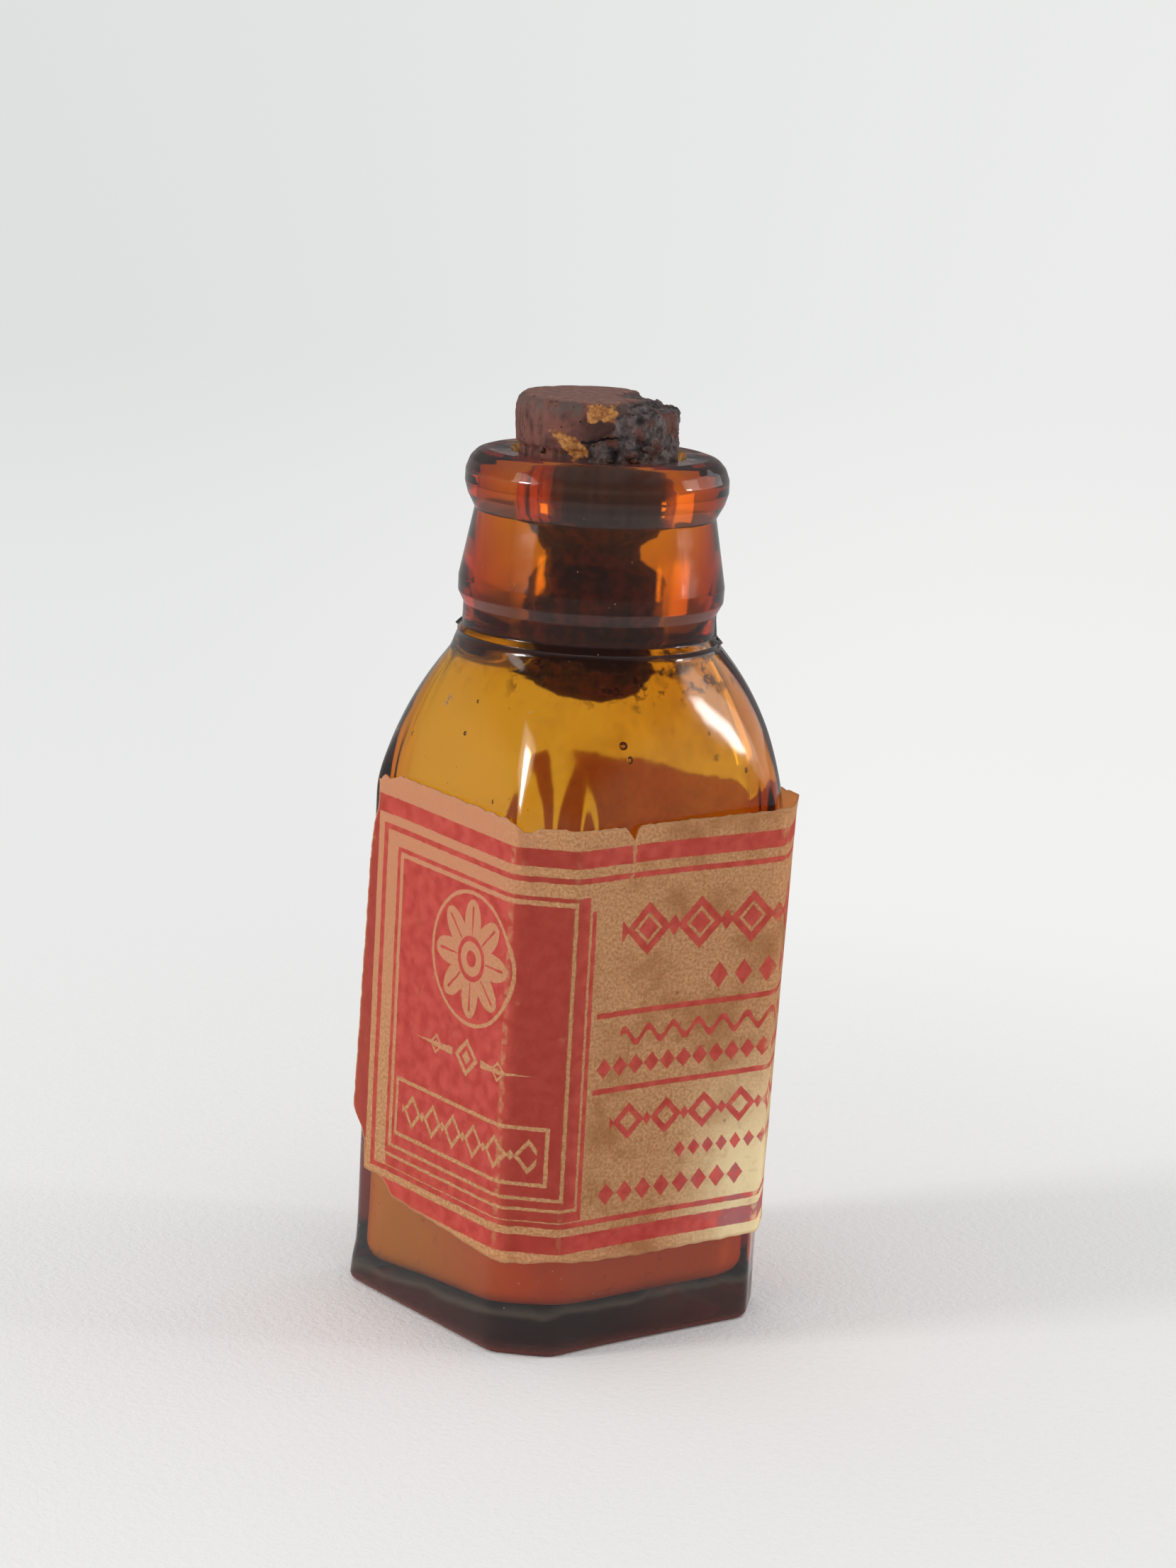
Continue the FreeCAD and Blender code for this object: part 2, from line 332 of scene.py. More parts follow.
# neck from the shoulder up over the lip and down the bore: across, height from the top, rounding
neckCorners = (
    (11.4, -16.2, 0), (11.5, -15.9, 0.12), (11.08, -15.4, 0.3), (11.08, -13.5, 0.3), (11.6, -12.5, 0.5),
    (11.62, -11.2, 0.9), (10.5, -5.2, 0.4), (11.16, -3.95, 1.0), (11.46, -2.93, 1.0), (11.44, -1.85, 1.0),
    (11.09, -0.89, 1.0), (10.49, -0.24, 1.0), (9.7, 0.0, 0.8), (7.6, -0.03, 0.35), (7.05, -1.1, 0.5),
    (7.05, -15.2, 0),
)
# air bubbles in the glass: bearing in degrees, height, depth in the wall, radius, stretch
bubbles = (
    (183.6, 52.4, 0.7, 0.2, 1.0), (246.6, 53.0, 0.9, 0.42, 0.9), (249.2, 51.8, 0.9, 0.28, 1.3),
    (205, 47.6, 0.8, 0.12, 1.6), (186, 55.2, 0.9, 0.14, 1.2), (250, 6.2, 1.2, 0.14, 1.0),
    (286, 53.4, 0.9, 0.13, 1.4), (300, 50.0, 1.1, 0.16, 1.5), (352, 49.0, 1.0, 0.3, 1.2),
    (30, 52.5, 1.0, 0.35, 1.3), (84, 30.0, 1.1, 0.4, 1.8), (98, 41.0, 1.0, 0.25, 2.0),
    (110, 18.0, 1.2, 0.3, 1.6), (140, 50.5, 1.1, 0.22, 1.3),
)


def bodyRadius(angle, power=glass["softness"]):
    # polar radius of the bevelled square, as a soft minimum of its eight sides
    half, bevel = glass["half"], glass["bevel"]
    total = 0
    for side in range(8):
        reach = half if side % 2 == 0 else (2 * half - bevel) / math.sqrt(2)
        total = total + (np.clip(np.cos(angle - side * math.pi / 4), 0, None) / reach) ** power
    return total ** (-1 / power)


def hollowRadius(angle):
    # polar radius of the square hollow with its round corners
    half, bend = glass["half"] - glass["wall"], glass["innerCorner"]
    across, along = np.abs(np.cos(angle)), np.abs(np.sin(angle))
    middle = half - bend
    reach = middle * (across + along)
    corner = reach + np.sqrt(np.maximum(reach ** 2 - 2 * middle ** 2 + bend ** 2, 0))
    flat = half / np.maximum(across, along)
    return np.where(flat * np.minimum(across, along) < middle, flat, corner)


def shoulderShares(steps):
    # height and roundness, each from 0 to 1, of the steps up a shoulder
    full = glass["lean"]
    for step in range(1, steps + 1):
        lean = full * step / steps
        yield math.sin(lean) / math.sin(full), (1 - math.cos(lean)) / (1 - math.cos(full))


def glassRings():
    angle = np.linspace(0, 2 * math.pi, glass["around"], endpoint=False)
    body, hollow = bodyRadius(angle), hollowRadius(angle)
    circle = np.ones_like(angle)
    outer, inner = [], []
    for share in np.linspace(0.12, 1, 9):  # hollow under the foot
        outer.append(((body - glass["rim"]) * share, glass["recess"] * float(1 - ease(share, 0.75, 1))))
    for turn in np.linspace(0, math.pi / 2, 8):  # heel
        outer.append((body - glass["heel"] * (1 - math.sin(turn)), glass["heel"] * (1 - math.cos(turn))))
    foot, top = glass["shoulderFoot"], glass["shoulderTop"]
    for height in np.linspace(glass["heel"], foot, 30)[1:]:
        outer.append((body, height))
    blunt = bodyRadius(angle, glass["shoulderSoftness"])
    for rise, roundness in shoulderShares(28):
        sides = body + (blunt - body) * float(ease(rise, 0, 0.45))
        outer.append((sides + (glass["ring"] - sides) * roundness, foot + (top - foot) * rise))
    for spot in roundedLine(neckCorners)[1:]:
        outer.append((circle * spot.x, glass["top"] + spot.y))
    outerCount = len(outer)
    innerFoot, innerTop = foot - glass["innerDrop"], outer[-1][1]
    for rise, roundness in list(shoulderShares(24))[-2::-1]:
        radius = hollow + (glass["bore"] - hollow) * roundness
        inner.append((radius, innerFoot + (innerTop - innerFoot) * rise))
    bend = glass["floorRound"]
    front = glass["half"] - glass["wall"]

    def level(radius):  # the hollow's floor falls towards the back
        return glass["floor"] - glass["floorSlope"] * (radius * np.sin(angle) + front)

    for share in np.linspace(0, 1, 24):
        inner.append((hollow, innerFoot + (level(hollow) + bend - innerFoot) * share))
    for turn in np.linspace(0, math.pi / 2, 9)[1:]:
        radius = hollow - bend * (1 - math.cos(turn))
        inner.append((radius, level(radius) + bend * (1 - math.sin(turn))))
    for share in np.linspace(0.9, 0.1, 8):
        radius = (hollow - bend) * share
        inner.append((radius, level(radius) + glass["floorCrown"] * (1 - share)))
    rings = [
        np.stack([radius * np.cos(angle), radius * np.sin(angle), circle * height], axis=1)
        for radius, height in outer + inner
    ]
    return np.array(rings), outerCount, angle


def addGlass(material):
    rings, outerCount, angle = glassRings()
    flat = rings.reshape(-1, 3)
    up = flat[:, 2]
    out = flat * (1, 1, 0)
    reach = np.linalg.norm(out, axis=1)
    out = out / np.maximum(reach, 1e-6)[:, None]
    outside = np.repeat(np.arange(len(rings)), glass["around"]) < outerCount
    upright = ease(up, 0.3, 3.0)  # the foot stays level
    wave = np.where(outside, glass["outerWave"], glass["innerWave"] * ease(reach, 7.2, 10.0))
    shift = wave * (lumps(flat, 11.0, 3.0) + 0.5 * lumps(flat, 5.0, 8.0)) * upright
    # mould seams at two opposite corners, with a fin of squeezed-out glass at the joint ring
    bearing = np.tile(angle, len(rings))
    away = np.abs((bearing - glass["seamBearing"] + math.pi / 2) % math.pi - math.pi / 2) * reach
    seam = np.exp(-(away / glass["seamWidth"]) ** 2)
    seamHere = outside & (up > glass["seamFoot"]) & (up < glass["seamTop"])
    shift = shift + np.where(seamHere, glass["seam"] * seam, 0)
    fin = np.exp(-((up - glass["shoulderTop"] - 0.5) / glass["finHeight"]) ** 2) * seam
    shift = shift + np.where(outside & (reach > 10), glass["fin"] * fin, 0)
    # at the photograph's left the shoulder has sunk and the foot spreads
    sunk = ease(up, 46, 57.5) * ease(up, 60.2, 58.0)
    sunk = sunk * np.clip(np.cos(bearing - glass["sagBearing"]), 0, 1)
    shift = shift - np.where(outside, glass["sag"] * sunk, 0)
    spread = ease(up, 4.5, 0.9) * ease(reach, 9.0, 13.0) * ease(flat @ photoRight, 5.0, -3.0)
    shift = shift + np.where(outside, glass["flare"] * spread, 0)
    flat = flat + out * shift[:, None]
    points, faces = closedRings(flat.reshape(rings.shape))
    points, faces = list(points), list(faces)
    for degrees, height, depth, size, stretch in bubbles:
        addBubble(points, faces, math.radians(degrees), height, depth, size, stretch)
    inside = np.zeros(len(points) - len(outside) - 1)
    values = {"outside": np.concatenate([outside, [1], inside])}
    addPiece("glassBottle", points, faces, [material], "bottle", "glass_bottle", values)


def shoulderReach(bearing, height):
    # outside radius of the glass at a bearing, from the foot to the neck
    foot, top = glass["shoulderFoot"], glass["shoulderTop"]
    body = float(bodyRadius(np.array([bearing]))[0])
    rise = min(max((height - foot) / (top - foot), 0), 1)
    lean = math.asin(rise * math.sin(glass["lean"]))
    return body + (glass["ring"] - body) * (1 - math.cos(lean)) / (1 - math.cos(glass["lean"]))


def addBubble(points, faces, bearing, height, depth, size, stretch):
    # a hollow inside the wall, so its faces look inwards
    reach = shoulderReach(bearing, height) - depth
    middle = np.array([reach * math.cos(bearing), reach * math.sin(bearing), height])
    rise = np.array([0, 0, size * stretch])
    rings = middle + size * ballRings(np.linspace(0, math.pi, 7)[1:-1], 10, stretch)
    bubble, bubbleFaces = closedRings(rings)
    bubble[-2], bubble[-1] = middle + rise, middle - rise
    joinLump(points, faces, bubble, bubbleFaces)


def glassMaterial():
    material, root, place = newMaterial("amberGlass")
    outside = root.field("outside")
    inside = 1 - outside
    across, along, up = place.parts()
    side, front = photoSides(across, along)
    # dust and specks lie thin on the outside, dried dregs inside the top of the shoulder
    specks = place.cells(1.1).fade(0.09, 0.05) * (place.grain(0.35) > 0.56)
    film = place.grain(0.25, 5.0, 0.65).fade(0.62, 0.85) * 0.05
    dregs = place.grain(0.7, 5.0, 0.65).fade(0.5, 0.62) * up.fade(54.5, 57.0) * up.fade(64.0, 60.0)
    caked = (up + (place.grain(0.5, 4.0, 0.6) - 0.5) * 4.5).fade(57.6, 58.8)
    caked = caked * side.fade(5.5, 3.0) * front.fade(0.0, 2.0) * up.fade(62.5, 60.0)
    dregs = dregs.most(caked) * inside
    dregs = dregs * (0.2 + side.fade(-6.8, -4.6) * 0.8)  # few at the photograph's left
    # brown streaks down the bore where the cork has leaked
    streaks = place.stretched((1.5, 1.5, 0.16)).grain(0.8, 4.0, 0.6)
    leak = streaks.fade(0.44, 0.6) * inside * up.fade(61.0, 64.0) * side.fade(-7.0, -3.5) * 0.5
    # a thin brown haze inside the shoulder
    haze = inside * up.fade(42.0, 46.0) * up.fade(59.0, 54.0)
    haze = haze * side.fade(-7.0, 0.0) * front.fade(-2.0, 4.0)
    haze = haze * (0.1 + place.grain(0.3, 5.0, 0.65).fade(0.35, 0.75) * 0.3)
    # dust on the lip, laid thick in grey-brown as its painted shade and dull sheen, more of it towards the
    # back
    lipDustAndShade = place.grain(0.5, 4.0, 0.6).fade(0.2, 0.55) * up.fade(73.8, 75.6) * outside
    lipDustAndShade = lipDustAndShade * (0.4 + front.fade(6.0, -1.0) * 0.4)
    smear = place.node("VectorMath", {"operation": "DISTANCE"}, {0: place, 1: glass["smear"]}, 1)
    smear = smear.fade(1.1, 0.5) * place.grain(2.6, 3.0).fade(0.42, 0.6)
    # painted shade: the thick glass of the foot looks all but black, so an opaque dark film is laid on its
    # outside, heaviest on the underside
    level = glass["floor"] - glass["floorSlope"] * (along + glass["half"] - glass["wall"])
    foot = (up - level - 0.2 + (place.grain(0.3, 5.0) - 0.5) * 1.8).fade(0.4, -1.5) * outside
    foot = foot * (0.4 + up.fade(0.7, 0.4) * 0.4)
    # painted light: the inside below about 11 mm is filmed with bright amber for light shining through the
    # glass, lighter towards the left of the photograph, with browner patches and a ragged top
    lowGlow = (up + (place.grain(0.25, 3.0) - 0.5) * 4.0).fade(13.0, 10.0) * inside
    lowGlowColour = side.fade(-13.0, -2.0).mix(tint(255, 216, 36), tint(255, 136, 30))
    lowGlowColour = (place.grain(0.6, 5.0, 0.65).fade(0.55, 0.8) * 0.5).mix(lowGlowColour, tint(160, 72, 24))
    # where dirt, the painted foot shade, the painted glow inside and the lip's painted shade cover the glass
    dirtShadeAndGlow = (specks * 0.75).most(film).most(dregs * 0.85).most(smear * 0.8).most(foot)
    dirtShadeAndGlow = dirtShadeAndGlow.most(lowGlow * 0.95).most(leak).most(lipDustAndShade).most(haze)
    bump = root.bump(place.grain(0.22, 2.0), 0.12, 0.4)
    roughness = 0.03 + outside * (0.07 - up.fade(70.5, 72.5) * 0.05) + film * 0.6  # the lip is cleaner
    amber = root.node("BsdfPrincipled", None, {
        "Base Color": (1, 1, 1, 1), "Roughness": roughness, "Normal": bump,
        "Transmission Weight": 1.0, "IOR": 1.5,
    })
    dust = place.grain(2.0).mix(tint(112, 86, 66), tint(186, 168, 148))
    brown = tint(58, 32, 24)
    residueAndShade = dregs.most(smear).most(leak * 2.0).mix(dust, brown)
    # the lip's dust colour, also its painted shade and sheen
    residueAndShade = lipDustAndShade.fade(0.0, 0.2).mix(residueAndShade, tint(76, 64, 62))
    residueAndShade = haze.fade(0.0, 0.08).mix(residueAndShade, dregs.mix(tint(214, 120, 44), brown))
    # painted shade on the foot, lighter towards its sides, and a painted reddish glint along the heel's
    # lower edge
    footShadeAndGlint = abs(side).fade(3.0, 12.0).mix(tint(40, 26, 24), tint(82, 44, 38))
    footShadeAndGlint = up.fade(1.5, 0.5).mix(footShadeAndGlint, tint(104, 58, 52))
    grimeShadeAndGlow = root.node("BsdfPrincipled", None, {
        "Base Color": foot.fade(0.1, 0.3).mix(lowGlow.mix(residueAndShade, lowGlowColour), footShadeAndGlint),
        "Roughness": 0.6, "Specular IOR Level": 0.2,
    })
    surface = root.node("MixShader", None, {0: dirtShadeAndGlow, 1: amber, 2: grimeShadeAndGlow})
    depth = root.node("VolumeAbsorption", None, {"Color": glass["absorption"], "Density": glass["density"]})
    root.node("OutputMaterial", None, {"Surface": surface, "Volume": depth})
    return material


addGlass(glassMaterial())

# cork
cork = {
    "tip": corkLow.z / mm,
    "stumpTop": 71.9,
    "stumpStep": 0.2,
    "sideStep": 0.22,
    "around": 176,
    "neckTop": 77,  # below this the neck holds it
    "neckReach": 6.9,
    "core": 0.5,
    "crumbReach": 7.1,
    "chipBearing": math.radians(-37),
    "pits": 0.22,
    "sunk": 0.25,
    "leaning": 0.17,  # to the left of the photograph
}
# side of the sound cork up to the worn edge of its top: across, height
corkSide = (
    (6.8, 72.0), (6.9, 73.0), (6.95, 75.3), (7.16, 76.4), (7.22, 78.0), (7.2, 80.2), (7.0, 80.95),
    (6.6, 81.4), (6.0, 81.55), (3.0, 81.58), (0.8, 81.6),
)
# eaten stump below it, from the tip up: height, and its reach at equal steps round from +X
stumpRings = (
    (54.4, (2.0, 2.4, 2.3, 1.9, 2.3, 2.6, 2.2, 1.9, 2.4, 2.7, 2.3, 2.0)),
    (55.5, (4.2, 4.8, 4.5, 4.1, 4.6, 4.9, 4.5, 4.1, 4.8, 5.0, 4.6, 4.2)),
    (57.2, (5.6, 5.2, 5.4, 5.8, 5.7, 6.0, 5.4, 5.2, 5.6, 5.8, 5.4, 5.7)),
    (59.3, (5.4, 5.8, 5.3, 5.6, 5.3, 5.0, 5.4, 5.8, 5.7, 5.3, 5.0, 5.2)),
    (61.4, (6.0, 5.7, 6.1, 5.8, 6.3, 6.1, 5.7, 6.0, 5.6, 6.3, 6.4, 6.1)),
    (63.9, (5.8, 6.1, 5.6, 5.3, 5.7, 5.6, 6.0, 5.4, 6.1, 5.8, 6.1, 6.3)),
    (65.8, (5.7, 5.3, 4.9, 5.4, 5.3, 5.0, 5.6, 5.8, 5.4, 5.7, 6.3, 6.0)),
    (66.9, (3.9, 4.2, 3.8, 4.1, 3.9, 3.8, 4.4, 3.9, 3.7, 3.8, 3.9, 4.1)),
    (68.0, (4.2, 3.9, 4.5, 4.8, 4.4, 4.6, 4.1, 3.8, 3.9, 4.2, 3.9, 4.1)),
    (69.4, (5.4, 5.0, 5.6, 5.3, 4.9, 5.7, 5.2, 4.9, 5.4, 5.8, 5.6, 5.3)),
    (70.9, (6.5, 6.6, 6.3, 6.5, 6.3, 6.6, 6.4, 6.5, 6.1, 6.5, 6.6, 6.3)),
    (72.0, (6.6, 6.7, 6.6, 6.7, 6.6, 6.7, 6.6, 6.7, 6.5, 6.6, 6.7, 6.6)),
)
# crumbs caught where the cork meets the lip: place across the front, height, size
crumbs = (
    (2.55, 76.9, 0.62), (2.95, 76.35, 0.34), (4.0, 77.35, 0.4), (2.2, 76.2, 0.26),
    (3.4, 76.3, 0.22), (-4.9, 76.7, 0.3), (0.9, 76.3, 0.24), (4.5, 76.5, 0.2),
)


def stumpReach(heights, angle):
    # reach of the stump at these heights and bearings, eased between the bearings of its rings
    levels = [level for level, reaches in stumpRings]
    rows = np.array([reaches for level, reaches in stumpRings])
    count = rows.shape[1]
    turn = angle / (2 * math.pi) * count
    before = np.floor(turn).astype(int)
    share = ease(turn - before, 0, 1)
    rows = rows[:, before % count] * (1 - share) + rows[:, (before + 1) % count] * share
    return np.stack([np.interp(heights, levels, column) for column in rows.T], axis=1)


def addCork(material):
    spots = np.array(corkSide)
    lengths = np.concatenate([[0], np.cumsum(np.hypot(*np.diff(spots, axis=0).T))])
    places = np.arange(0, lengths[-1], cork["sideStep"])
    angle = np.linspace(0, 2 * math.pi, cork["around"], endpoint=False)
    stump = np.arange(cork["tip"], cork["stumpTop"], cork["stumpStep"])
    sound = np.interp(places, lengths, spots[:, 0])
    reach = np.concatenate([
        stumpReach(stump[:1], angle) * 0.4, stumpReach(stump, angle),
        np.repeat(sound[:, None], len(angle), axis=1),
    ])
    height = np.concatenate([stump[:1], stump, np.interp(places, lengths, spots[:, 1])])
    level = np.outer(height, np.ones_like(angle))
    rings = np.stack([reach * np.cos(angle), reach * np.sin(angle), level], axis=2)
    flat = rings.reshape(-1, 3).copy()
    reach = np.linalg.norm(flat[:, :2], axis=1)
    out = flat * (1, 1, 0) / np.maximum(reach, 1e-6)[:, None]
    up = flat[:, 2]
    eaten = ease(up, 72.2, 70.8)
    towards = np.array([math.cos(cork["chipBearing"]), math.sin(cork["chipBearing"]), 0])
    coarse, fine, tiny = lumps(flat, 2.6, 1.0), lumps(flat, 0.9, 5.0), lumps(flat, 0.38, 9.0)
    ragged = eaten * (0.3 * fine + 0.2 * tiny)
    # the broken side starts further left at the foot than at the top
    chipSide = flat @ towards + 1.6 * coarse + 0.5 * fine
    crumbled = ease(chipSide - 1.6 - (up - 80) * 0.9, -0.2, 0.7) * ease(up, 75.4, 76.2)
    pits = -cork["pits"] * np.clip(fine - 0.25, 0, 1) * (1 - eaten)
    depth = 0.12 + 0.55 * np.clip(coarse + 0.1, 0, 1) + 0.6 * np.clip(fine, 0, 1) + 0.3 * np.abs(tiny)
    upright = np.minimum(ease(reach, 3.0, 6.0) + eaten, 1)
    shift = ragged + (pits - crumbled * depth + 0.05 * coarse + 0.03 * tiny * (1 - eaten)) * upright
    inNeck = up < cork["neckTop"]
    shift = np.where(inNeck, np.minimum(shift, cork["neckReach"] - reach), shift)
    shift = np.maximum(shift, cork["core"] - reach)
    flat = flat + out * shift[:, None]
    top = ease(up, 80.2, 81.4)
    chipped = ease(chipSide, 1.4, 5.2) * top
    flat[:, 2] -= chipped * (0.85 + 0.35 * coarse + 0.4 * fine + 0.18 * tiny)
    flat[:, 2] += (1 - chipped) * top * (0.06 * coarse + 0.04 * fine - 0.06)
    flat[:, 2] -= cork["sunk"] * ease(up, 76.4, 81.4)
    flat -= np.outer(ease(up, 75.5, 80.0) * cork["leaning"], photoRight)
    points, faces = closedRings(flat.reshape(rings.shape))
    crumbled = np.concatenate([np.maximum(crumbled, chipped), [0, 0]])
    eaten = np.concatenate([eaten, [1, 0]])
    points, faces = list(points), list(faces)
    for side, rise, size in crumbs:
        addCrumb(points, faces, side, rise, size)
    spare = np.zeros(len(points) - len(eaten))
    values = {"crumbled": np.concatenate([crumbled, spare + 0.45]), "eaten": np.concatenate([eaten, spare])}
    addPiece("corkStopper", points, faces, [material], "stopper", "cork_stopper", values)


def addCrumb(points, faces, side, height, size):
    # a small ragged lump stuck to the front of the cork, half sunk in it
    ahead = math.sqrt(cork["crumbReach"] ** 2 - side ** 2)
    middle = np.array(photoRight) * side + np.array(photoFront) * ahead + (0, 0, height)
    crumb, crumbFaces = closedRings(size * ballRings(np.linspace(math.pi, 0, 9)[1:-1], 12, 0.8))
    crumb = crumb * (1 + 0.7 * lumps(crumb + middle, size * 0.9, 4.0))[:, None] + middle
    joinLump(points, faces, crumb, crumbFaces)


def corkMaterial():
    material, root, place = newMaterial("stainedCork")
    crumbled, eaten = root.field("crumbled"), root.field("eaten")
    across, along, up = place.parts()
    side, front = photoSides(across, along)
    mottle = place.grain(0.55, 5.0, 0.6)
    streak = place.stretched((1.6, 1.6, 0.25)).grain(0.7, 4.0)
    stain = mottle.fade(0.32, 0.66).mix(tint(62, 36, 32), tint(116, 68, 58))
    stain = (side.fade(-3.0, -5.5) * streak.fade(0.38, 0.6) * 0.7).mix(stain, tint(128, 80, 70))
    stain = (streak.fade(0.52, 0.7) * 0.7).mix(stain, tint(46, 27, 25))
    rim = up.fade(79.3, 80.6) * (place.grain(0.9, 4.0).fade(0.3, 0.6) * 0.85)
    stain = rim.mix(stain, tint(88, 72, 66))
    skin = place.grain(1.6, 6.0, 0.6).fade(0.25, 0.75).mix(tint(112, 76, 66), tint(142, 102, 90))
    stain = up.fade(80.9, 81.2).mix(stain, skin)  # the top
    # bare tan patches where the stained skin has come away
    upper = 1 - (abs(side) / 1.6).most(abs(up - 80.3) / 0.85)
    slant = side + up - 77.4 + 2.3
    lower = 1 - (abs(slant) / 1.25).most(abs(up - 77.4) / 1.35)
    bare = (upper.most(lower) + (place.grain(1.1, 4.0) - 0.5) * 1.3).fade(0.12, 0.3) * (front > 0)
    tan = place.grain(2.2, 4.0).fade(0.3, 0.7).mix(tint(120, 66, 28), tint(190, 132, 70))
    # painted shade: the cork's side darkened from a little left of its middle to the right, below its top
    # rim
    shade = side.fade(-2.6, -0.6) * (up + (place.grain(0.8, 3.0) - 0.5) * 3.0).fade(80.0, 79.0)
    stain = (shade * 0.75).mix(stain, tint(46, 28, 25))
    stain = bare.mix(stain, tan)
    # the crumbled side is coal grey with rusty spots
    coal = place.grain(0.8, 4.0, 0.6).fade(0.34, 0.7).mix(tint(44, 35, 35), tint(116, 103, 101))
    rust = place.grain(0.6, 4.0).fade(0.5, 0.66)
    coal = (rust * 0.85).mix(coal, tint(104, 58, 46))
    stain = (crumbled + (place.grain(1.2, 5.0) - 0.5) * 0.7).fade(0.3, 0.6).mix(stain, coal)
    # painted shade: the dark line of a short crack across the front
    crack = abs(up - 78.0 - side * 0.2 + (place.grain(1.0) - 0.5) * 0.9).fade(0.16, 0.05)
    crack = crack * (abs(side) < 1.6) * (front > 0)
    pore = place.cells(1.5).fade(0.2, 0.1) * (place.grain(0.8) > 0.5)
    stain = crack.most(pore * 0.8).mix(stain, tint(24, 15, 14))
    held = up.fade(76.3, 75.5) * streak.fade(0.3, 0.62)  # dark where the neck holds it
    stain = (held * 0.9).mix(stain, tint(26, 15, 13))
    # painted light: bright orange streaks at both flanks of the seat, standing in for light passing between
    # the cork and the glass
    flankGlow = abs(side - 1.0).fade(3.4, 5.4) * up.fade(75.6, 74.4) * streak.fade(0.36, 0.52)
    stain = flankGlow.mix(stain, tint(252, 140, 54))
    stump = mottle.fade(0.4, 0.7).mix(tint(50, 29, 25), tint(124, 68, 50))
    stain = eaten.fade(0.1, 0.6).mix(stain, stump)
    height = place.grain(2.4, 5.0, 0.6) * 0.6 - pore * 0.5 + crumbled * place.grain(2.4, 3.0) * 0.7
    surface = root.node("BsdfPrincipled", None, {
        "Base Color": stain, "Roughness": 0.58 + mottle * 0.35, "Normal": root.bump(height, 0.8, 0.22),
        "Specular IOR Level": 0.4,
    })
    root.node("OutputMaterial", None, {"Surface": surface})
    return material


addCork(corkMaterial())

# paper label, in millimetres along the sheet from the fold left of the front bevel, and up
label = {
    "paper": 0.12,
    "paste": 0.04,
    "low": 8.4,
    "high": 46.9,
    "end": 65.3,
    "flapFold": -19.9,
    "flapTurn": math.radians(9),
    "flapLift": 0.11,
    "flapColumns": 12,
    "columns": 270,
    "rows": 128,
    "lift": 1.05,  # off the glass at the right front fold
    "crackLift": 0.22,
    "notch": 10.9,  # place of the small tear in the upper edge
    "notchLift": 0.25,
    "bumps": 0.07,
    "torn": 0.16,
    "thin": 0.5,  # share of the light that passes through the printed side
    "thinBack": 0.76,
    "glow": (1.0, 0.64, 0.38, 1.0),
}
# torn outline: along, up
labelTop = (
    (-20.2, 46.2), (-19.3, 47.1), (-18.4, 46.9), (-17.0, 47.4), (-10.0, 47.2), (-1.0, 46.9),
    (0.1, 46.7), (0.6, 46.0), (1.3, 46.1), (2.0, 46.5), (9.9, 46.5), (10.3, 46.1), (10.8, 45.3),
    (11.2, 46.3), (11.6, 46.5), (26.8, 46.9), (58.2, 46.8), (58.7, 46.3), (59.3, 42.0), (60.0, 37.0),
    (60.8, 29.6), (61.8, 38.0), (62.6, 45.0), (63.0, 46.7), (65.3, 46.3),
)
labelFoot = (
    (-20.2, 10.9), (-17.9, 10.8), (-16.6, 10.3), (-15.6, 9.4), (-8.0, 8.95), (0.0, 8.35),
    (2.5, 8.3), (5.0, 8.7), (7.0, 8.4), (12.0, 8.1), (26.8, 8.2), (65.3, 8.5),
)
labelLeft = (  # up, along
    (10.9, -20.15), (13.4, -20.3), (14.4, -20.8), (15.8, -22.9), (40.0, -21.5), (42.6, -21.0), (43.6, -20.4),
    (46.2, -20.2),
)


def alongGlass():
    # places along the sheet against the bearing, measured on the glass
    angle = np.linspace(math.radians(120), math.radians(435), 9000)
    reach = bodyRadius(angle)
    x, y = reach * np.cos(angle), reach * np.sin(angle)
    length = np.concatenate([[0], np.cumsum(np.hypot(np.diff(x), np.diff(y)))])
    side = glass["half"] - glass["bevel"]
    fold = math.pi + math.atan2(side, glass["half"])
    length -= np.interp(fold, angle, length)
    tangent = np.stack([np.gradient(x, length), np.gradient(y, length)], axis=1)
    return length, np.stack([x, y], axis=1), tangent


def sheetGrid():
    fold, left, torn = label["flapFold"], np.array(labelLeft), label["torn"]
    top, foot = np.array(labelTop), np.array(labelFoot)
    share = np.linspace(0, 1, label["rows"])
    main = np.linspace(fold, label["end"], label["columns"])
    wanders = np.array([
        noise.noise(Vector((place * 1.1, 3.1, 0))) + 0.6 * noise.noise(Vector((place * 3.1, 0, 7.7)))
        for place in main
    ])
    wandersFoot = np.array([noise.noise(Vector((place * 0.9, 9.3, 4))) for place in main])
    high = np.interp(main, top[:, 0], top[:, 1]) + torn * wanders
    low = np.interp(main, foot[:, 0], foot[:, 1]) + torn * 0.7 * wandersFoot
    up = low[:, None] + (high - low)[:, None] * share
    along = np.repeat(main[:, None], len(share), axis=1)
    flapUp = np.repeat(up[:1], label["flapColumns"], axis=0)
    wandersLeft = np.array([
        noise.noise(Vector((2.2, place * 1.3, 5))) + 0.5 * noise.noise(Vector((8, place * 3.3, 1)))
        for place in up[0]
    ])
    edge = np.interp(up[0], left[:, 0], left[:, 1]) + torn * wandersLeft
    edge = np.minimum(edge, fold - 0.2)
    steps = np.linspace(0, 1, label["flapColumns"], endpoint=False)
    flapAlong = edge + (fold - edge) * steps[:, None]
    return np.concatenate([flapAlong, along]), np.concatenate([flapUp, up])


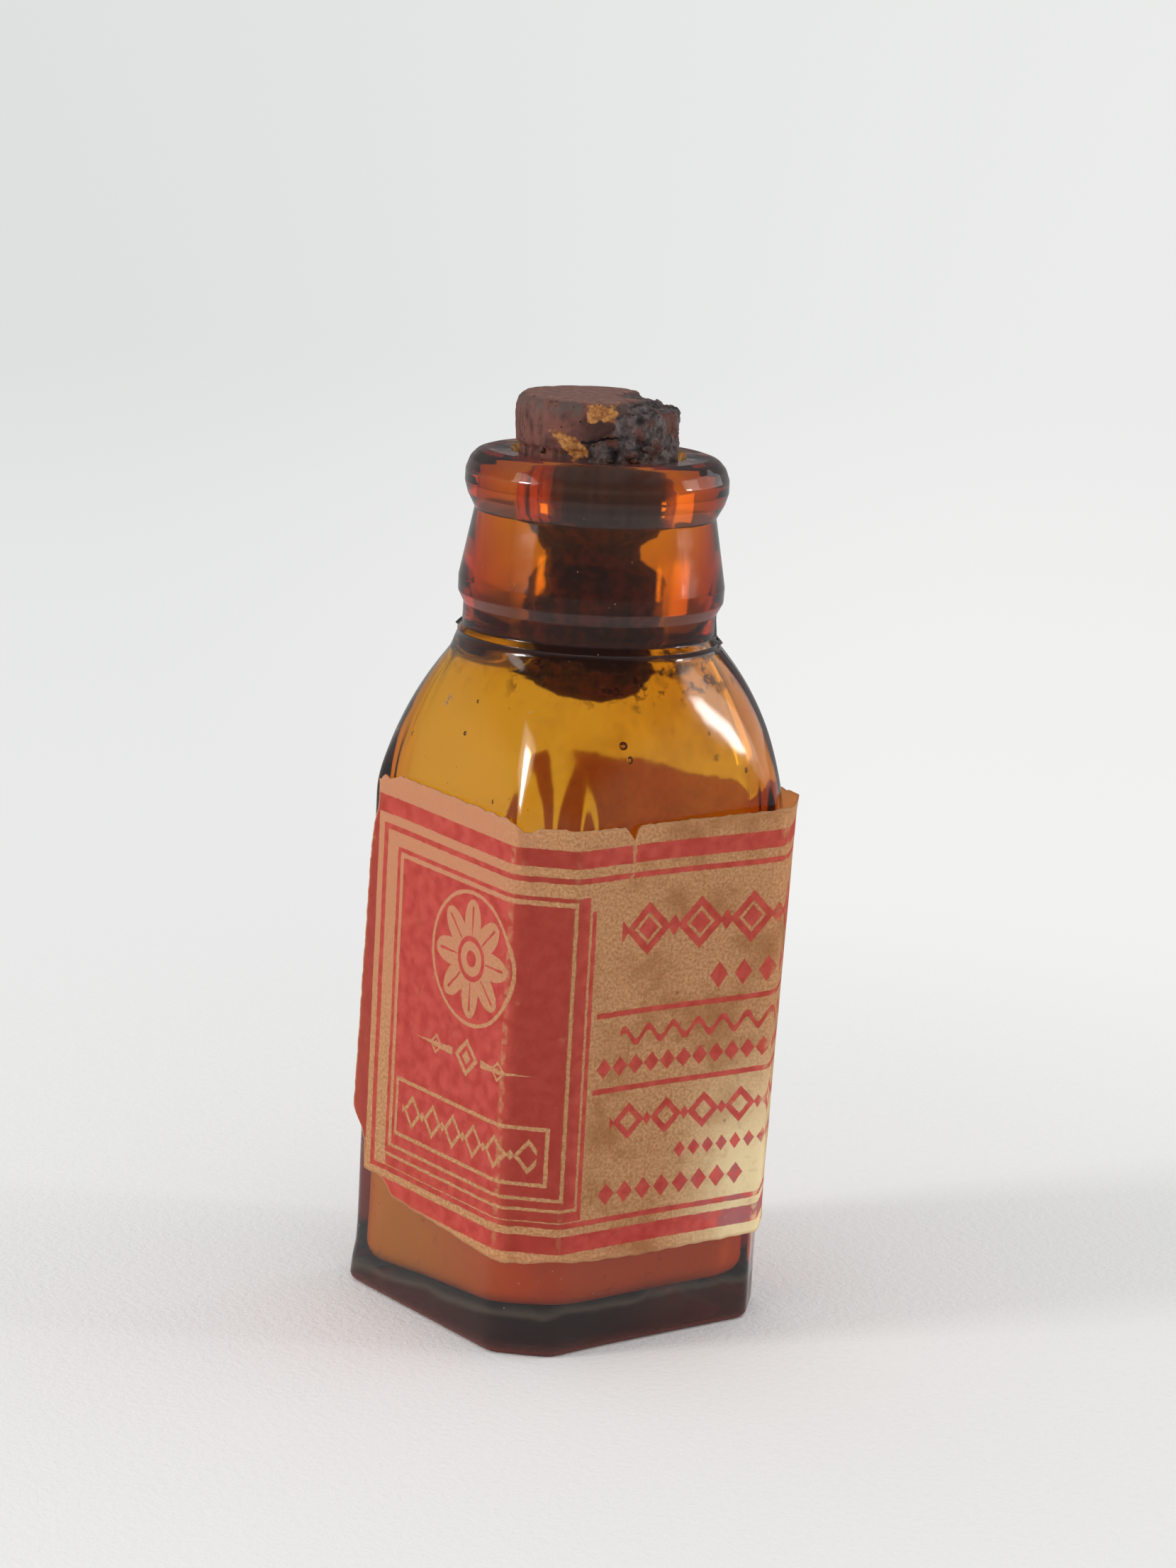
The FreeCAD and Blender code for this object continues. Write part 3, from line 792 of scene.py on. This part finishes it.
def sheetLift(along, up):
    # how far the paper stands off the glass
    height = (up - label["low"]) / (label["high"] - label["low"])
    lift = label["paste"] + label["flapLift"] * ease(along, -16, label["flapFold"])
    corner = ease(along, 12, 26.5) * ease(along, 50, 32.5)
    lift = lift + label["lift"] * corner * (0.22 + 0.78 * np.clip(height, 0, 1) ** 1.2)
    crack = np.interp(up, (11, 14, 30, 40.0, 40.8, 43.3, 47), (1.0, 0.6, 0.3, 1.9, 1.8, 0.5, 0.0))
    worn = np.maximum(ease(up, 39.0, 42.0), ease(up, 15.0, 12.5))
    lift = lift + label["crackLift"] * worn * np.exp(-((along - crack) / 0.4) ** 2)
    notch = np.exp(-((along - label["notch"]) / 0.5) ** 2) * ease(up, 41.5, 45.0)
    lift = lift + label["notchLift"] * notch
    lift = lift + 0.12 * ease(up, 45.4, 47.2) + 0.1 * ease(up, 9.6, 8.2)  # upper and lower edge
    points = np.stack([along.ravel(), up.ravel(), 0 * up.ravel()], axis=1)
    bumps = 0.5 + 0.5 * lumps(points, 4.0, 2.0).reshape(along.shape)
    return lift + label["bumps"] * bumps


def atPlaces(base, length, table):
    # both columns of a table at these places along the glass
    return np.stack([np.interp(base, length, column) for column in table.T], axis=-1)


def sheetPoints(along, up, lift):
    length, spots, tangents = alongGlass()
    fold, turn = label["flapFold"], label["flapTurn"]
    base = np.clip(along, fold, None)
    spot, tangent = atPlaces(base, length, spots), atPlaces(base, length, tangents)
    tangent = tangent / np.linalg.norm(tangent, axis=-1, keepdims=True)
    out = np.stack([tangent[..., 1], -tangent[..., 0]], axis=-1)
    past = (base - along)[..., None]  # the free flap leaves the glass at its fold
    spot = spot - tangent * past * math.cos(turn) - out * past * math.sin(turn)
    bent = past > 0
    out = np.where(bent, out * math.cos(turn) - tangent * math.sin(turn), out)
    spot = spot + out * lift[..., None]
    return np.concatenate([spot, up[..., None]], axis=-1)


def addLabel(printed, pasted):
    along, up = sheetGrid()
    lift = sheetLift(along, up)
    front = sheetPoints(along, up, lift + label["paper"])
    back = sheetPoints(along, up, lift)
    columns, rows = along.shape
    count = columns * rows
    grid = np.arange(count).reshape(columns, rows)
    here, right = grid[:-1, :-1].ravel(), grid[1:, :-1].ravel()
    above, corner = grid[:-1, 1:].ravel(), grid[1:, 1:].ravel()
    faces = [tuple(face) for face in np.stack([here, right, corner, above], axis=1)]
    faces += [tuple(face + count) for face in np.stack([here, above, corner, right], axis=1)]
    sides = len(faces) // 2
    rim = np.concatenate([grid[:, 0], grid[-1, 1:], grid[-2::-1, -1], grid[0, -2:0:-1]])
    ahead = np.roll(rim, -1)
    faces += [tuple(face) for face in np.stack([rim, rim + count, ahead + count, ahead], axis=1)]
    slots = np.concatenate([np.zeros(sides), np.ones(sides), np.ones(len(rim))]).astype(np.int32)
    # the sheet went on a little askew, so the print climbs towards both far folds
    climb = np.clip((up - 11) / 34, 0, 1)
    skew = climb * (0.03 * np.clip(-along, 0, 20) + 0.016 * np.clip(along - 5.4, 0, 22))
    sheet = np.stack([along.ravel(), (up - skew).ravel(), 0 * up.ravel()], axis=1)
    edge = np.minimum(np.linspace(0, 1, rows), np.linspace(1, 0, rows))
    edge = np.repeat(edge[None, :], columns, axis=0) * (up[:, -1:] - up[:, :1])
    edge = np.minimum(edge, along - along[:1, :]).ravel()
    values = {"sheet": np.concatenate([sheet, sheet]), "edge": np.concatenate([edge, edge])}
    points = np.concatenate([front.reshape(-1, 3), back.reshape(-1, 3)])
    both = [printed, pasted]
    addPiece("paperLabel", points, faces, both, "bottle", "paper_label", values, slots)


# rectangles of the print on the sheet: left, right, low, high
printBorder = ((-22.9, 60.3, 9.3, 44.75), (-19.95, 58.6, 10.87, 43.2))
printLine = ((-19.15, 57.8, 11.57, 42.36), (-18.55, 57.2, 12.05, 41.87))
printPanel = (-16.1, 5.27, 14.25, 39.85)
# plain rows of lozenges: left, right, pitch, middle, width, height, low, high
lozengeRows = (
    (19.4, 45.4, 2.6, 32.4, 1.0, 1.25, 31, 34),
    (8.2, 55.8, 1.7, 25.4, 0.84, 0.95, 24, 27),
    (17.0, 47.0, 1.5, 17.1, 0.66, 0.78, 16, 18.2),
    (9.0, 25.0, 2.0, 14.1, 0.92, 1.05, 12.9, 15.3),
    (39.0, 55.0, 2.0, 14.1, 0.92, 1.05, 12.9, 15.3),
)


def within(along, up, left, right, low, high):
    # 1 inside a rectangle of the sheet
    past = abs(along - (left + right) / 2) - (right - left) / 2
    pastUp = abs(up - (low + high) / 2) - (high - low) / 2
    return past.most(pastUp).fade(0.03, -0.03)


def band(along, up, outer, inner):
    # 1 between two rectangles of the sheet
    return within(along, up, *outer) - within(along, up, *inner)


def lozenges(along, up, start, pitch, middle, width, height):
    # how far inside a row of lozenges: 1 at their middles, 0 at their outlines
    step = (along - start) % pitch - pitch / 2
    return 1 - abs(step) / width - abs(up - middle) / height


def ornaments(along, up):
    # rows of printers' ornaments, centred on the wide side
    rows = []
    big = lozenges(along, up, 10.3, 5.4, 37.3, 2.45, 2.4)
    big = big.fade(0.0, 0.05) - big.fade(0.38, 0.44) + big.fade(0.54, 0.6)
    small = lozenges(along, up, 13.0, 5.4, 37.3, 0.7, 1.0).fade(0.0, 0.08)
    rows.append(big.most(small) * within(along, up, 10.2, 53.6, 34, 41))
    swing = (along * (2 * math.pi / 2.6)).math("SINE") * 0.6
    rows.append(abs(up - 28.0 - swing).fade(0.36, 0.28) * within(along, up, 10.6, 53.4, 26.8, 29.2))
    medium = lozenges(along, up, 10.0, 4.0, 20.4, 1.75, 1.7)
    medium = medium.fade(0.0, 0.06) - medium.fade(0.46, 0.54)
    dots = lozenges(along, up, 12.0, 4.0, 20.4, 0.5, 0.65).fade(0.0, 0.1)
    rows.append(medium.most(dots) * within(along, up, 10.0, 54.0, 18.6, 22.2))
    for left, right, pitch, middle, width, height, low, high in lozengeRows:
        row = lozenges(along, up, left, pitch, middle, width, height).fade(0.0, 0.1)
        rows.append(row * within(along, up, left, right, low, high))
    for height in (30.1, 23.4):  # rules
        rows.append(within(along, up, 8.0, 56.0, height - 0.24, height + 0.24))
    total = rows[0]
    for row in rows[1:]:
        total = total.most(row)
    return total


def panelArt(along, up):
    # bare paper left in the red panel: a rosette, a swelled rule with lozenges, and a cartouche
    x, y = along + 5.3, up - 33.6
    reach = (x * x + y * y) ** 0.5
    turn = y.math("ARCTAN2", x)
    petal = abs((turn * 4.0).math("COSINE"))
    flower = (3.1 + petal * 2.1 - reach).fade(-0.05, 0.05)
    vein = abs((turn * 4.0).math("SINE")).fade(0.16, 0.08) * reach.fade(2.0, 2.2) * reach.fade(4.7, 4.5)
    eye = abs(reach - 1.75).fade(0.26, 0.2) + reach.fade(0.75, 0.65)
    art = flower * (1 - vein) * (1 - eye)
    art = art.most(abs(reach - 5.75).fade(0.2, 0.14))
    off = abs(up - 24.9)
    swell = (0.5 - abs(x) * 0.065) - off
    art = art.most(swell.fade(-0.03, 0.03) * (abs(x) > 2.1))
    for middle, size in ((0.0, 1.75), (-4.6, 0.95), (4.6, 0.95)):
        lozenge = 1 - (abs(x - middle) + off) / size
        art = art.most(lozenge.fade(0.0, 0.05) - lozenge.fade(0.3, 0.38) + lozenge.fade(0.6, 0.68))
    art = art.most(band(along, up, (-15.7, 4.2, 15.2, 20.5), (-15.35, 3.85, 15.55, 20.15)))
    chain = lozenges(along, up, -14.6, 3.1, 17.85, 1.35, 1.6)
    chain = chain.fade(0.0, 0.05) - chain.fade(0.32, 0.4)
    beads = lozenges(along, up, -13.05, 3.1, 17.85, 0.42, 0.5).fade(0.0, 0.1)
    return art.most(chain.most(beads) * within(along, up, -14.6, 3.2, 15.9, 19.8))


def inkMask(along, up):
    ink = band(along, up, *printBorder).most(band(along, up, *printLine))
    # the panel, its keylines and the shadow line to the right and below
    for red, box in (
        (1, (-16.9, 7.4, 12.15, 39.4)), (0, (-16.9, 6.97, 13.02, 39.6)), (1, (-17.0, 6.72, 13.3, 40.65)),
        (0, (-16.55, 5.56, 13.95, 40.27)), (1, printPanel),
    ):
        mask = within(along, up, *box)
        ink = ink.most(mask) if red else ink * (1 - mask)
    ink = ink - panelArt(along, up) * within(along, up, *printPanel)
    return ink.most(ornaments(along, up))


def printedMaterial():
    material, root = newMaterial("printedPaper")[:2]
    sheet, edge = root.field("sheet", 1), root.field("edge")
    along, up = sheet.parts()[:2]
    wobble = (sheet.grain(1.5, 2.0) - 0.5) * 0.16
    ink = inkMask(along + wobble, up + (sheet.grain(1.7, 2.0) - 0.5) * 0.16)
    # aged paper: pinker at the upper left, blotched in between; the pale lower right is a painted pool of
    # light
    pulp = sheet.grain(3.5, 5.0, 0.65)
    blotch = sheet.grain(0.16, 5.0, 0.6)
    paper = pulp.fade(0.34, 0.66).mix(tint(200, 148, 100), tint(246, 198, 146))
    paper = (along.fade(4, -4) * up.fade(14, 40) * 0.8).mix(paper, tint(238, 168, 132))
    paleLight = along.fade(15, 25) * along.fade(34, 28) * up.fade(30, 14)
    paper = (paleLight * 0.95).mix(paper, tint(255, 234, 184))
    paper = (blotch.fade(0.46, 0.66) * along.fade(6, 9) * (0.6 - paleLight * 0.4)).mix(paper, tint(164, 114, 66))
    fleck = sheet.grain(0.9, 5.0, 0.65).fade(0.52, 0.7) * along.fade(6, 9) * up.fade(38, 26)
    paper = (fleck * (0.5 - paleLight * 0.3)).mix(paper, tint(166, 122, 76))
    spots = sheet.cells(0.55).fade(0.13, 0.06) * (sheet.grain(0.4) > 0.58)
    paper = (spots * 0.6).mix(paper, tint(112, 84, 62))
    # worn red ink
    speck = sheet.grain(5.5, 3.0, 0.7).fade(0.66, 0.76)
    rub = sheet.grain(0.5, 5.0, 0.65).fade(0.6, 0.8) * 0.55
    crease = abs(along + 0.1).fade(0.35, 0.1).most(abs(along - 5.4).fade(0.3, 0.1) * 0.4)
    crease = crease.most(abs(along - 26.6).fade(0.6, 0.15)) * sheet.grain(1.2, 3.0).fade(0.4, 0.6)
    split = abs(along - 11.0 - (sheet.grain(0.9, 3.0) - 0.5) * 1.6).fade(0.2, 0.08) * up.fade(41.2, 42.2)
    crease = crease.most(split * 1.4)
    ink = ink * (1 - speck * 0.7) * (1 - rub) * (1 - crease * 0.6) * edge.fade(0.0, 0.25)
    red = sheet.grain(0.8, 4.0).fade(0.3, 0.7).mix(tint(206, 62, 67), tint(234, 94, 92))
    # painted shade: darker red over the front bevel
    red = (along.fade(-0.5, 1.0) * along.fade(7.0, 5.0) * 0.6).mix(red, tint(164, 40, 46))
    # painted shade: darker red on the flap at the left edge
    red = (along.fade(-18.5, -20.5) * 0.6).mix(red, tint(150, 50, 54))
    faded = along.fade(15, 25) * up.fade(24, 12) * sheet.grain(0.35).fade(0.4, 0.6)
    red = (faded * 0.8).mix(red, tint(166, 104, 116))
    colour = (ink * 0.93).mix(paper, red)
    colour = (edge.fade(0.35, 0.0) * 0.45).mix(colour, tint(222, 178, 136))
    height = pulp * 0.5 + sheet.grain(9.0, 3.0) * 0.4 + sheet.grain(0.6, 3.0) * 1.2
    surface = root.node("BsdfPrincipled", None, {
        "Base Color": colour, "Roughness": 0.74 + pulp * 0.2, "Normal": root.bump(height, 0.55, 0.08),
        "Specular IOR Level": 0.25,
    })
    thin = root.node("BsdfTranslucent", None, {"Color": label["glow"]})
    share = label["thin"] - paleLight * 0.3  # less light passes through the painted pool of light, so it shows brighter
    surface = root.node("MixShader", None, {0: share, 1: surface, 2: thin})
    root.node("OutputMaterial", None, {"Surface": surface})
    return material


def pastedMaterial():
    material, root, place = newMaterial("pastedPaper")
    along, up = root.field("sheet", 1).parts()[:2]
    pulp = place.grain(3.0, 5.0, 0.65)
    brush = place.stretched((0.2, 0.2, 1.6)).grain(0.8, 4.0)
    paper = pulp.fade(0.3, 0.7).mix(tint(176, 124, 82), tint(206, 158, 110))
    paper = (brush.fade(0.5, 0.7) * 0.5).mix(paper, tint(150, 96, 56))
    # the red print shows through the pasted side
    red = band(along, up, *printBorder).most(within(along, up, *printPanel))
    paper = (red * 0.6).mix(paper, tint(196, 70, 60))
    surface = root.node("BsdfPrincipled", None, {
        "Base Color": paper, "Roughness": 0.7 + pulp * 0.2, "Normal": root.bump(pulp, 0.5, 0.08),
    })
    thin = root.node("BsdfTranslucent", None, {"Color": label["glow"]})
    surface = root.node("MixShader", None, {0: label["thinBack"], 1: surface, 2: thin})
    root.node("OutputMaterial", None, {"Surface": surface})
    return material


addLabel(printedMaterial(), pastedMaterial())

# floor and light
studio = {
    "floorSize": 80000.0,
    "cloth": tint(240, 240, 239),
    "backdrop": tint(229, 230, 229),
    "world": 0.75,
    "overhead": 0.28,  # share of the backdrop's light in the room above it
    "mirrored": 0.5,  # share of it that polished surfaces show
    "daylight": (0.98, 0.99, 1.0, 1.0),
    "aim": 30.0,  # height that the soft boxes face
}
# soft boxes: bearing from -Y, elevation, distance, width, height, power, colour
softBoxes = (
    ("leftBox", -104, 19, 900, 150, 170, 2.5, (1.0, 0.98, 0.95)),
    ("leftGlow", -104, 20, 1000, 430, 340, 1.2, (1.0, 0.98, 0.95)),
    ("rightBox", 50, 14, 900, 90, 150, 0.85, (1.0, 0.99, 0.97)),
    ("rightGlow", 56, 17, 1000, 300, 320, 0.6, (1.0, 0.98, 0.96)),
    ("rightWall", 78, 19, 1000, 960, 470, 1.5, (1.0, 0.97, 0.95)),
)


def seenDirectly(root):
    # 1 for what the camera sees, also mirrored or through glass; and 1 for what is mirrored
    names = "Is Camera Ray", "Is Glossy Ray", "Is Transmission Ray"
    straight, glossy, bent = [root.lightPath(name) for name in names]
    return straight.most(glossy).most(bent), glossy * (1 - bent)


def dimmed(colour):
    return tuple(value * studio["mirrored"] for value in colour[:3]) + (1.0,)


def addFloor():
    material, root, place = newMaterial("paleCloth")
    across, along = place.parts()[:2]
    reach = (across * across + along * along) ** 0.5
    weave = place.grain(1.3, 3.0, 0.7)
    colour = (weave.fade(0.55, 0.75) * 0.12).mix(studio["cloth"], tint(205, 204, 202))
    cloth = root.node("BsdfPrincipled", None, {
        "Base Color": colour, "Roughness": 0.95, "Normal": root.bump(weave, 0.35, 0.4),
    })
    # far from the bottle the cloth runs into the pale glowing backdrop, painted a little darker at the left
    # and further away as shade
    seen, mirrored = seenDirectly(root)
    sideways = (photoSides(across, along)[0] / reach).fade(-0.25, 0.2)
    near = sideways.mix(tint(233, 234, 233), tint(242, 242, 241))
    paleLight = reach.fade(140, 900).mix(near, sideways.mix(tint(222, 224, 223), tint(235, 236, 235)))
    backdrop = root.node("Emission", None, {"Color": mirrored.mix(paleLight, dimmed(studio["backdrop"]))})
    far = reach.fade(55, 175) * seen
    surface = root.node("MixShader", None, {0: far, 1: cloth, 2: backdrop})
    root.node("OutputMaterial", None, {"Surface": surface})
    half = studio["floorSize"] / 2 * mm
    corners = [(-half, -half, 0), (half, -half, 0), (half, half, 0), (-half, half, 0)]
    mesh = bpy.data.meshes.new("floor")
    mesh.from_pydata(corners, [], [(0, 1, 2, 3)])
    mesh.materials.append(material)
    floor = bpy.data.objects.new("floor", mesh)
    bpy.context.scene.collection.objects.link(floor)


def addLights():
    for name, degrees, elevation, distance, width, height, power, colour in softBoxes:
        lamp = bpy.data.lights.new(name, "AREA")
        lamp.shape = "RECTANGLE"
        lamp.size, lamp.size_y = width * mm, height * mm
        lamp.energy, lamp.color = power, colour
        bearing, rise = math.radians(degrees), math.radians(elevation)
        level = math.cos(rise)
        back = Vector((math.sin(bearing) * level, -math.cos(bearing) * level, math.sin(rise)))
        made = bpy.data.objects.new(name, lamp)
        made.location = back * distance * mm + Vector((0, 0, studio["aim"] * mm))
        made.rotation_euler = back.to_track_quat("Z", "Y").to_euler()
        bpy.context.scene.collection.objects.link(made)
    world = bpy.data.worlds.new("studio")
    world.use_nodes = True
    world.node_tree.nodes.clear()
    root = Wire(world.node_tree)
    # the camera meets the backdrop everywhere; glass shows it low down, and a dimmer room above
    seen, mirrored = seenDirectly(root)
    up = root.node("TexCoord").parts()[2]
    room = 1 - up.fade(0.04, 0.32) * (1 - studio["overhead"])
    room = room * (1 - mirrored * (1 - studio["mirrored"]))
    room = room.most(root.lightPath("Is Camera Ray"))
    backdrop = root.node("Background", None, {"Color": studio["backdrop"], "Strength": room})
    light = root.node("Background", None, {"Color": studio["daylight"], "Strength": studio["world"]})
    both = root.node("MixShader", None, {0: seen, 1: light, 2: backdrop})
    root.node("OutputWorld", None, {"Surface": both})
    bpy.context.scene.world = world
    print("floor and light set")


addFloor()
addLights()
bpy.context.scene.view_settings.view_transform = "Standard"
